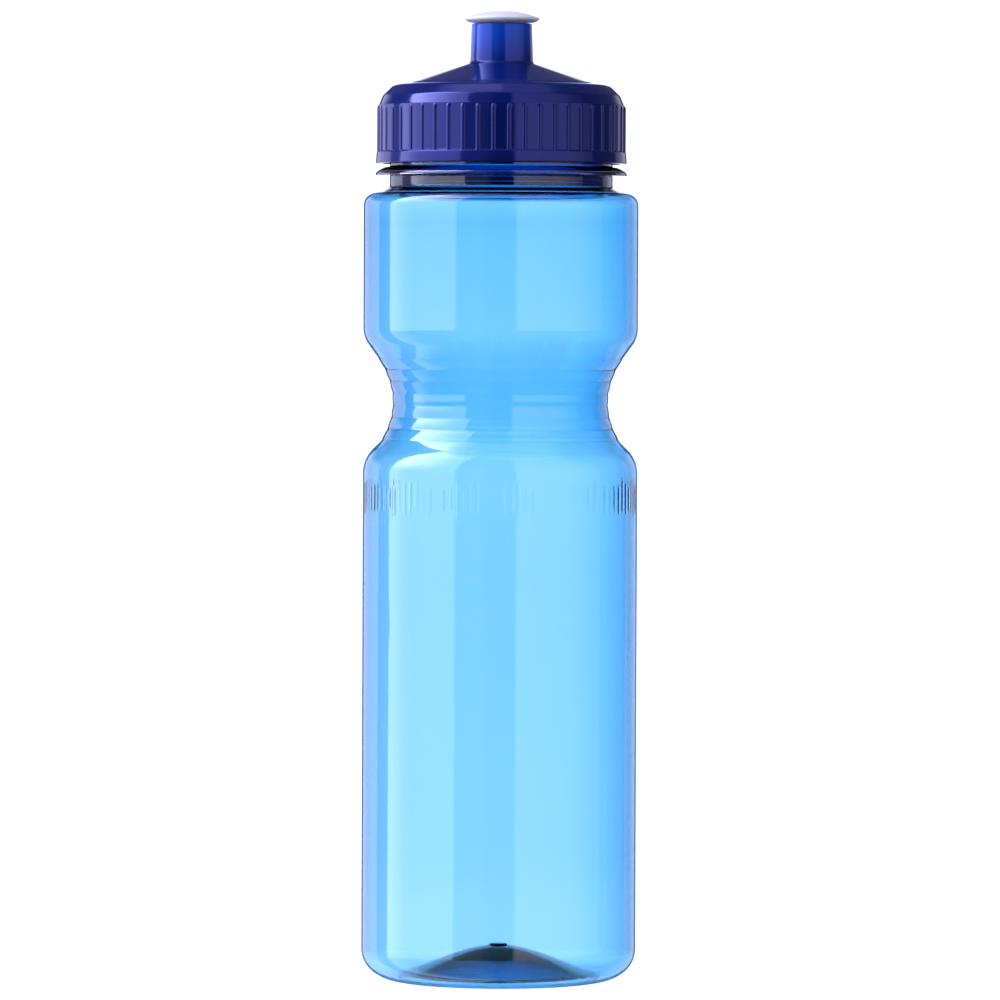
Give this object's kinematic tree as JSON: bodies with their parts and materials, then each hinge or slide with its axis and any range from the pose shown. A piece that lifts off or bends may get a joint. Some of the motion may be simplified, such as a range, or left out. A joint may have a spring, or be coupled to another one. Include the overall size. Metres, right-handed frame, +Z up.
{
  "type": "sports squeeze bottle",
  "caption": "Transparent sports bottle with a ringed waist, a ribbed screw lid with a spout, and a push-pull drinking valve.",
  "frame": {"origin": "on the bottle's axis, on the plane that the foot ring rests on", "axes": "+Z up along the bottle's axis, towards the drinking valve"},
  "size_m": [0.073, 0.073, 0.2575],
  "materials": {
    "clear_body": "transparent blue-tinted PET, polished, thick and darker at the neck and floor",
    "gasket": "soft white sealing washer, satin",
    "lid": "glossy moulded dark blue, very smooth",
    "valve": "frosted natural plastic, slightly translucent"
  },
  "bodies": {
    "bottle": {"bottle_body": "clear_body"},
    "gasket": {"lid_gasket": "gasket"},
    "lid": {"screw_lid": "lid"},
    "valve": {"pull_valve": "valve"}
  },
  "joints": [
    {"name": "lid_lift", "type": "slide", "parent": "bottle", "child": "gasket", "axis": [0, 0, 1], "range_m": [0, 0.0202]},
    {"name": "lid_turn", "type": "hinge", "parent": "gasket", "child": "lid", "pos_m": [0, 0, 0.217], "axis": [0, 0, 1], "range_deg": [0, 1710]},
    {"name": "valve_pull", "type": "slide", "parent": "lid", "child": "valve", "axis": [0, 0, 1], "range_m": [0, 0.006]}
  ],
  "couplings": [
    {"joint": "lid_lift", "follows": "lid_turn", "m_per_rad": 0.00067376}
  ]
}
